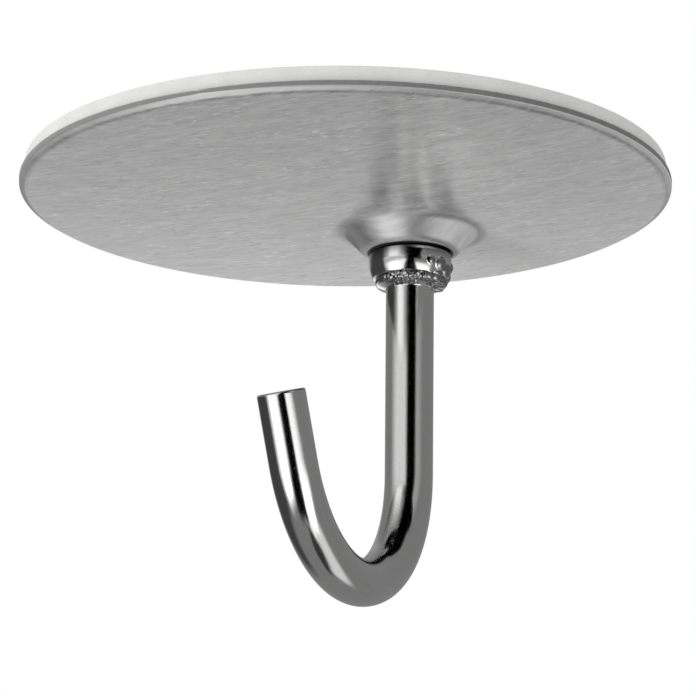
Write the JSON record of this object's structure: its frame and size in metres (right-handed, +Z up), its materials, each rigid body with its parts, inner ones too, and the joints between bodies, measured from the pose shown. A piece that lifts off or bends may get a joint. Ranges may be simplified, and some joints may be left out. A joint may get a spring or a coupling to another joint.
{
  "type": "adhesive ceiling hook",
  "caption": "Adhesive ceiling hook: a foam-backed round brushed steel plate with a polished round-bar hook riveted to a pressed cone in it.",
  "frame": {"origin": "centre of the adhesive face, which meets the ceiling", "axes": "+Z up into the ceiling; +X from the plate's centre to the pressed cone and the shank; the tip points towards -X, turned 2.6 degrees from it as riveted"},
  "size_m": [0.064, 0.064, 0.0443],
  "materials": {
    "foam": "matte",
    "brushed_sheet": "satin",
    "polished_bar": "polished"
  },
  "bodies": {
    "root": {"foam_pad": "foam", "backplate": "brushed_sheet", "hook": "polished_bar"}
  },
  "joints": []
}
